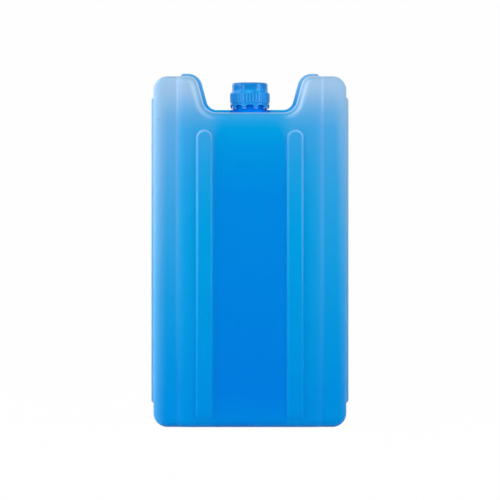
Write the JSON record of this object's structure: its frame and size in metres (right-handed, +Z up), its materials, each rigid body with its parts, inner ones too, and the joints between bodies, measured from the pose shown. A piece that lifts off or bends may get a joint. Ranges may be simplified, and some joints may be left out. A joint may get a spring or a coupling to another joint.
{
  "type": "reusable ice pack",
  "caption": "Flat bottle-shaped cooler ice pack of frosted blue plastic filled with gel, with long raised ribs, side rails and a notch round a locked ribbed cap.",
  "frame": {"origin": "bottom centre of the bounding box, in the middle of the flat base the pack stands on", "axes": "+Z up from the base to the cap, +X across the width, front face towards -Y"},
  "size_m": [0.0924, 0.0332, 0.1653],
  "materials": {
    "frosted_bottle": "blow-moulded natural HDPE, frosted and translucent, lightly grained",
    "coolant_gel": "thickened water-based coolant, deep blue",
    "cap_plastic": "injection-moulded polypropylene, semi-gloss",
    "seal_foam": "die-cut foamed polyethylene disc"
  },
  "bodies": {
    "root": {"shell": "frosted_bottle", "gel": "coolant_gel", "cap": "cap_plastic", "seal": "seal_foam"}
  },
  "joints": []
}
